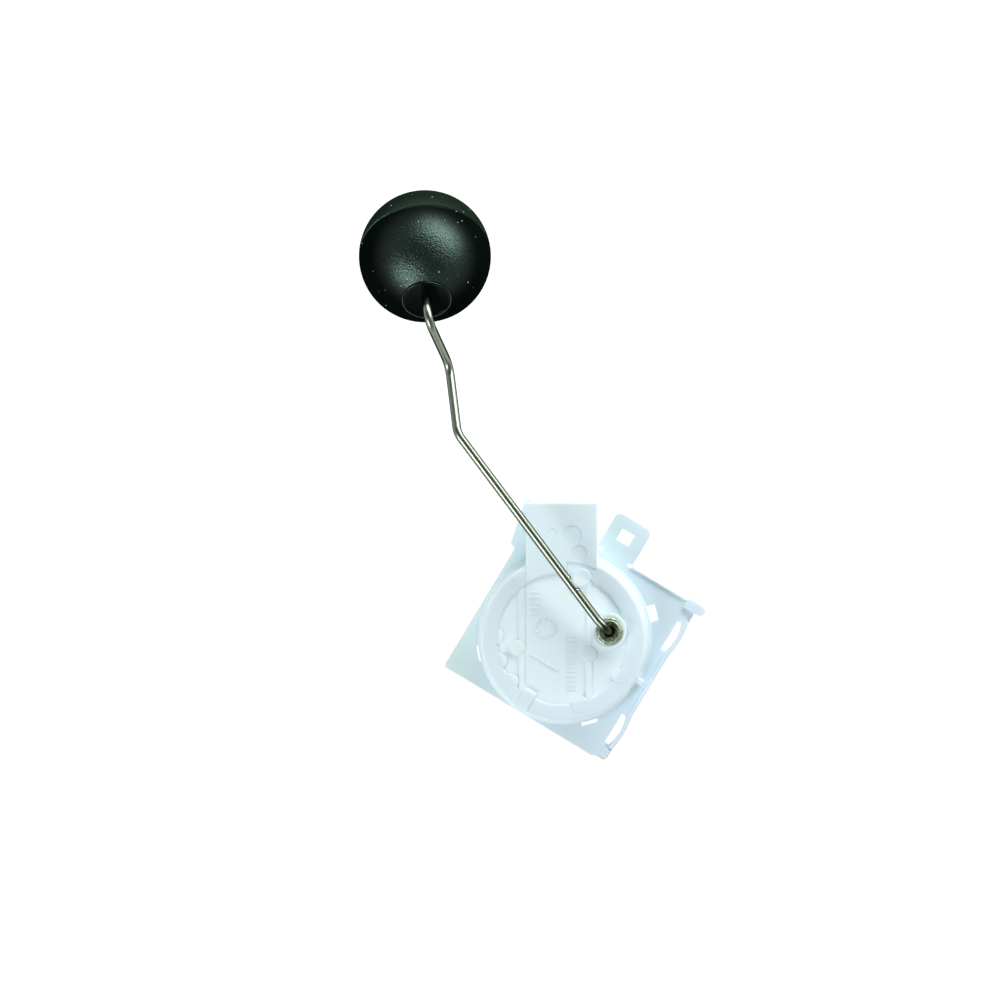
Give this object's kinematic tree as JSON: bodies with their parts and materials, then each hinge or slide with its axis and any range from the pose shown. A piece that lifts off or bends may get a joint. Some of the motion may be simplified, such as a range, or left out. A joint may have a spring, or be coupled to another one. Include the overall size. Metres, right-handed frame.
{
  "type": "float level sender",
  "caption": "Float-arm tank level sender: clip-on round housing on a latching plate, bent wire arm on a pivot, black ball float.",
  "frame": {"origin": "on the arm's pivot axis, in the plate's flat back face", "axes": "+Z out of the plate's front along the pivot axis, +X towards the plate's bowed spring edge, +Y towards its latch tab"},
  "size_m": [0.1343, 0.113, 0.0362],
  "materials": {
    "plate_plastic": "translucent natural moulding, satin",
    "cover_plastic": "translucent natural moulding, satin",
    "bush_steel": "turned, slightly oiled",
    "bearing_brass": "turned",
    "card_ceramic": "fired alumina, matte",
    "track_carbon": "printed cermet, matte",
    "print_silver": "printed silver, satin",
    "terminal_brass": "stamped, tinned lightly",
    "rivet_steel": "bright zinc",
    "solder": "smooth",
    "wire_steel": "drawn stainless wire",
    "rotor_plastic": "natural moulding",
    "spring_bronze": "rolled strip",
    "contact_silver": "polished",
    "washer_plastic": "waxy",
    "float_plastic": "fine spark-eroded grain",
    "plug_plastic": "glossy"
  },
  "bodies": {
    "root": {"base_plate": "plate_plastic", "front_cover": "cover_plastic", "pivot_bush": "bush_steel", "rear_bush": "bearing_brass", "resistor_card": "card_ceramic", "resistor_track": "track_carbon", "collector_track": "print_silver", "segment_bars": "print_silver", "signal_lead": "print_silver", "ground_lead": "print_silver", "signal_terminal": "terminal_brass", "ground_terminal": "terminal_brass", "terminal_rivets": "rivet_steel", "solder_joints": "solder"},
    "arm": {"float_arm": "wire_steel", "wiper_rotor": "rotor_plastic", "wiper_spring": "spring_bronze", "wiper_contacts": "contact_silver", "wiper_rivets": "rivet_steel", "thrust_washer": "washer_plastic", "spring_washer": "rivet_steel", "float_retaining_ring": "rivet_steel"},
    "float": {"float_upper_shell": "float_plastic", "float_lower_shell": "float_plastic", "float_plug": "plug_plastic", "float_sleeve": "plug_plastic"}
  },
  "joints": [
    {"name": "arm_swing", "type": "hinge", "parent": "root", "child": "arm", "pos_m": [0, 0, 0], "axis": [0, 0, 1], "range_deg": [-10, 70]},
    {"name": "float_spin", "type": "hinge", "parent": "arm", "child": "float", "pos_m": [-0.0962, 0.0622, 0.0181], "axis": [0.4191, -0.5664, 0.7096], "continuous": true}
  ]
}
